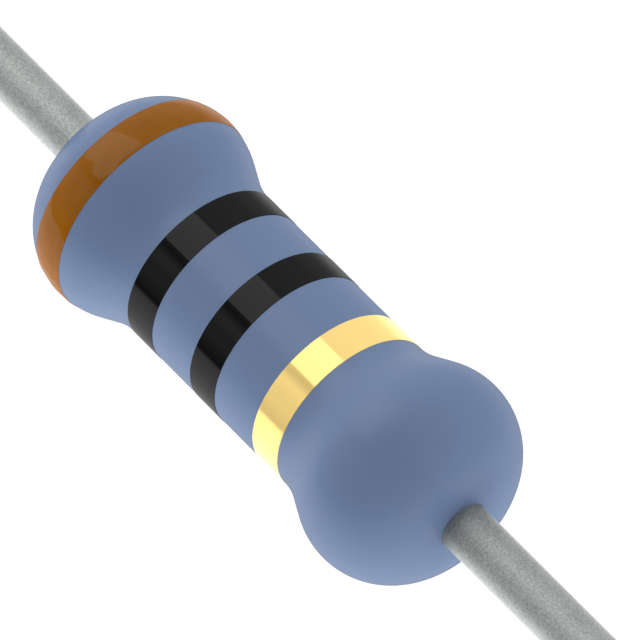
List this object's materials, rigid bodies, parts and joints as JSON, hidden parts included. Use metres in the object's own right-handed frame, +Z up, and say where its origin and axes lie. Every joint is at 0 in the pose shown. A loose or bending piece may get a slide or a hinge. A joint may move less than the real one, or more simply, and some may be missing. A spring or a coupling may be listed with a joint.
{
  "type": "axial resistor",
  "caption": "Axial film resistor: a dog-bone lacquered body with painted colour bands and a straight tinned wire lead at each end.",
  "frame": {"origin": "middle of the coated body, on the axis of the leads", "axes": "+X along the leads towards the gold tolerance band, +Z up"},
  "size_m": [0.065, 0.0036, 0.0036],
  "materials": {
    "body_lacquer": "matt slate-blue baked lacquer",
    "brown_paint": "glossy brown band paint",
    "black_paint": "glossy black band paint",
    "gold_paint": "glossy gold band paint",
    "tinned_wire": "satin tinned copper",
    "cap_steel": "pressed, tinned steel",
    "film": "thin dark resistive film",
    "alumina": "plain fired alumina"
  },
  "bodies": {
    "root": {"ceramic_core": "alumina", "resistive_film": "film", "left_end_cap": "cap_steel", "right_end_cap": "cap_steel", "left_lead": "tinned_wire", "right_lead": "tinned_wire", "lacquer_coating": "body_lacquer", "first_digit_band": "brown_paint", "second_digit_band": "black_paint", "multiplier_band": "black_paint", "tolerance_band": "gold_paint"}
  },
  "joints": []
}
